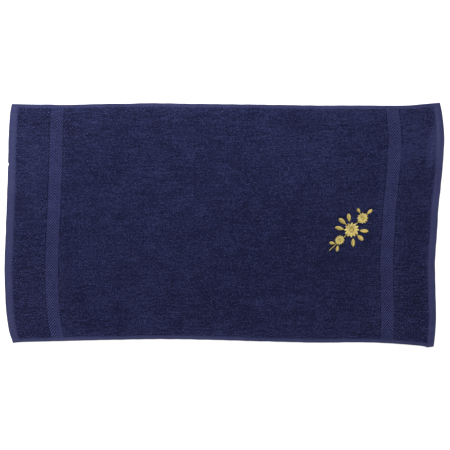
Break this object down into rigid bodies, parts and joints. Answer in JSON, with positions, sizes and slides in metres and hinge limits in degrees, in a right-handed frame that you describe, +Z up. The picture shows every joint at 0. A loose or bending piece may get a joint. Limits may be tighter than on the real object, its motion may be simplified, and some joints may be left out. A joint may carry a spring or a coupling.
{
  "type": "bath towel",
  "caption": "Looped terry bath towel lying flat, with flat-woven herringbone borders, hemmed ends and narrow selvedges.",
  "frame": {"origin": "middle of the towel's outline on the surface that it lies on", "axes": "+X along the towel's length, +Y across its width towards the far edge, +Z up out of the looped upper face"},
  "size_m": [1.3174, 0.7332, 0.0073],
  "materials": {
    "terry": "navy looped cotton terry, matt, with paler flat-woven borders and hems"
  },
  "bodies": {
    "root": {"towel": "terry"}
  },
  "joints": []
}
